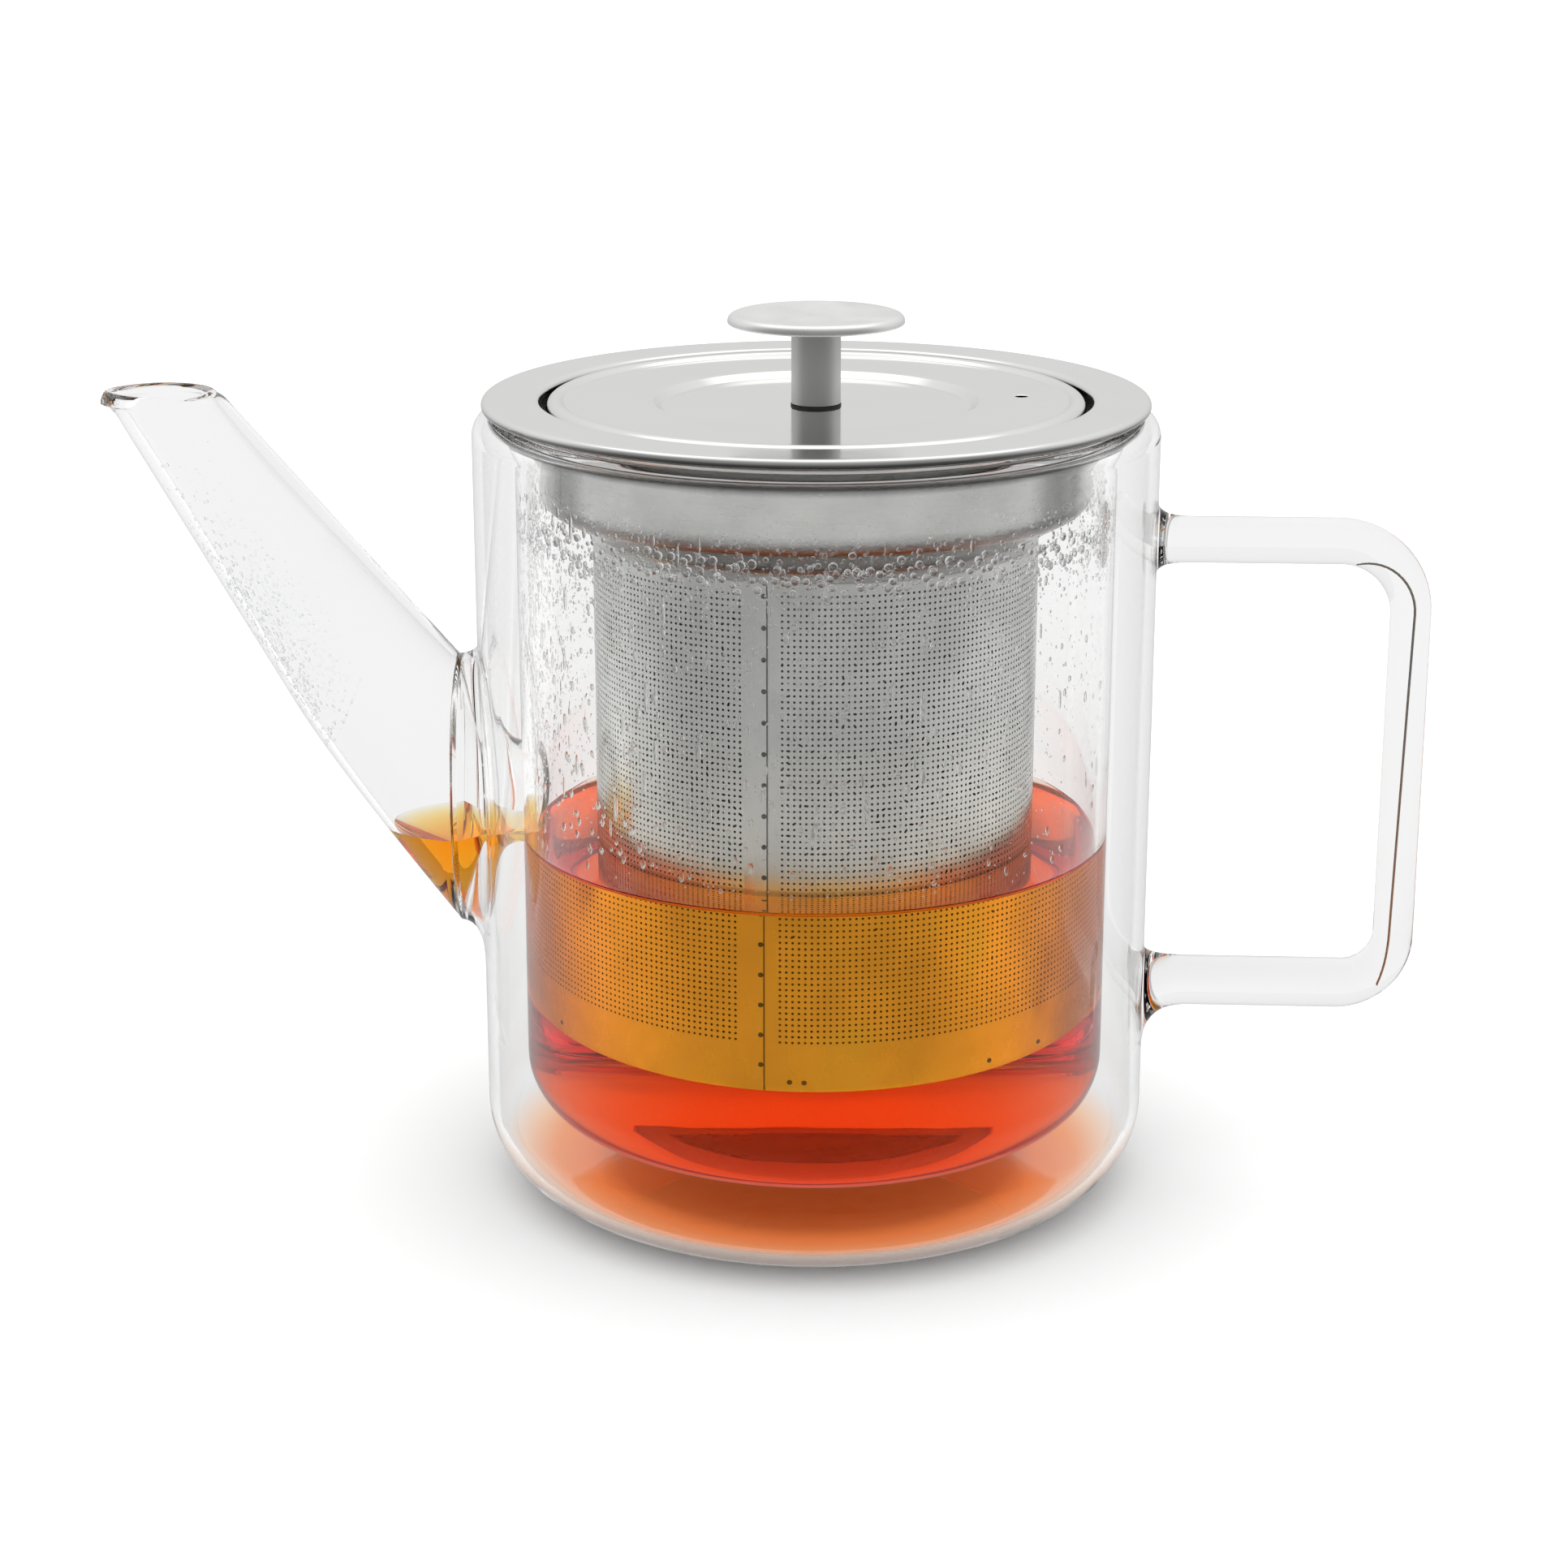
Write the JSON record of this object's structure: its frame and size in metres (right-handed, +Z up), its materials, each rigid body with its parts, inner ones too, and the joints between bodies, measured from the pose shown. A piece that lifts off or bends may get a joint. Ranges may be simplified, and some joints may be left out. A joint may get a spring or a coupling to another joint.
{
  "type": "glass teapot",
  "caption": "Double-walled glass teapot with a long cone spout, a rod handle, a drop-in perforated steel filter and a lift-out steel lid.",
  "frame": {"origin": "middle of the flat base, on the body's axis", "axes": "+Z up along the body's axis, +X towards the handle, -X towards the spout"},
  "size_m": [0.2545, 0.13, 0.1708],
  "materials": {
    "clear_glass": "clear polished borosilicate glass",
    "satin_steel": "finely brushed stainless steel",
    "polished_steel": "polished stainless steel",
    "filter_steel": "perforated stainless steel sheet",
    "black_rubber": "matte",
    "tea": "clear liquid"
  },
  "bodies": {
    "pot": {"outer_glass": "clear_glass", "inner_glass": "clear_glass", "spout_funnel": "clear_glass", "spout_socket": "clear_glass", "spout": "clear_glass", "handle": "clear_glass", "base_seal": "clear_glass"},
    "filter": {"filter_collar": "polished_steel", "filter_neck": "satin_steel", "filter_sleeve": "filter_steel", "filter_base": "filter_steel", "lid_seat": "satin_steel"},
    "lid": {"lid_plate": "polished_steel", "lid_skirt": "satin_steel", "stem_washer": "black_rubber", "knob_stem": "satin_steel", "knob_disc": "polished_steel", "knob_washer": "satin_steel", "knob_screw": "satin_steel"}
  },
  "joints": [
    {"name": "filter_lift", "type": "slide", "parent": "pot", "child": "filter", "axis": [0, 0, 1], "range_m": [0, 0.13]},
    {"name": "lid_lift", "type": "slide", "parent": "filter", "child": "lid", "axis": [0, 0, 1], "range_m": [0, 0.05]}
  ]
}
